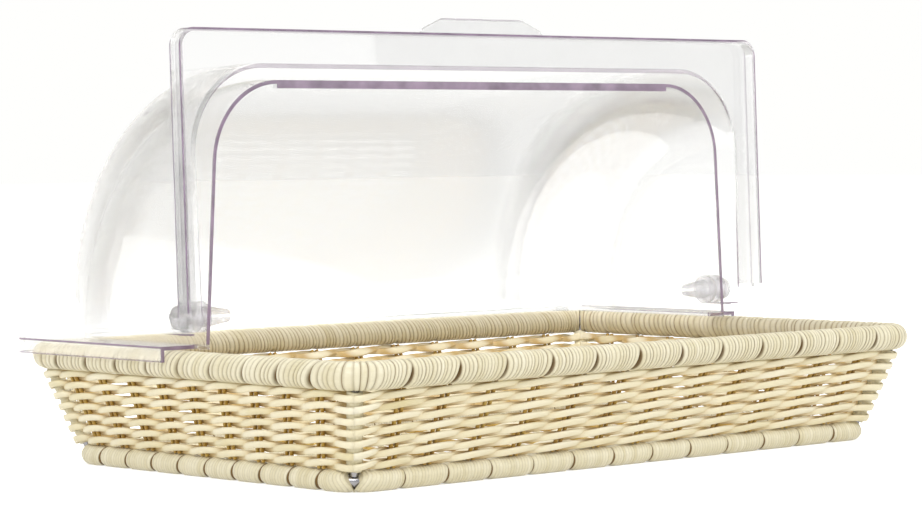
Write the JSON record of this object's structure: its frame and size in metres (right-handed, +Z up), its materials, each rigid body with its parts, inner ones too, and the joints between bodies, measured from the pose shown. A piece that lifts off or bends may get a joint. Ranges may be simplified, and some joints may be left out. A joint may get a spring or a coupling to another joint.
{
  "type": "bread display bin",
  "caption": "Woven rattan countertop bread basket on a steel wire frame, under a clear roll-top cover whose lid turns back over a fixed rear shell.",
  "frame": {"origin": "on the counter under the middle of the tray", "axes": "+X along the long side, +Y towards the back where the lid goes when open, +Z up"},
  "size_m": [0.5336, 0.3388, 0.2929],
  "materials": {
    "steel_rod": "polished steel wire",
    "stake_cane": "honey brown poly cane",
    "rattan_strand": "ivory poly rattan strand",
    "rattan_wrap": "ivory poly rattan, tightly wound",
    "clear_sheet": "clear moulded polycarbonate",
    "pivot_plastic": "translucent grey plastic"
  },
  "bodies": {
    "basket": {"rim_rod": "steel_rod", "base_rod": "steel_rod", "corner_posts": "steel_rod", "corner_wraps": "rattan_wrap", "floor_stakes": "stake_cane", "floor_weave": "rattan_strand", "stakes_front": "stake_cane", "stakes_right": "stake_cane", "stakes_back": "stake_cane", "stakes_left": "stake_cane", "weave_front": "rattan_strand", "weave_right": "rattan_strand", "weave_back": "rattan_strand", "weave_left": "rattan_strand", "rim_wrap_front": "rattan_wrap", "rim_wrap_right": "rattan_wrap", "rim_wrap_back": "rattan_wrap", "rim_wrap_left": "rattan_wrap", "base_wrap_front": "rattan_wrap", "base_wrap_right": "rattan_wrap", "base_wrap_back": "rattan_wrap", "base_wrap_left": "rattan_wrap"},
    "rear_shell": {"rear_cover": "clear_sheet", "pivot_pin_left": "pivot_plastic", "pivot_pin_right": "pivot_plastic", "pivot_spacer_left": "pivot_plastic", "pivot_spacer_right": "pivot_plastic", "pivot_collar_left": "pivot_plastic", "pivot_collar_right": "pivot_plastic"},
    "roll_top": {"lid": "clear_sheet"}
  },
  "joints": [
    {"name": "cover_lift", "type": "slide", "parent": "basket", "child": "rear_shell", "axis": [0, 0, 1], "range_m": [0, 0.12]},
    {"name": "lid_hinge", "type": "hinge", "parent": "rear_shell", "child": "roll_top", "pos_m": [0, 0.01, 0.101], "axis": [1, 0, 0], "range_deg": [0, 92]}
  ]
}
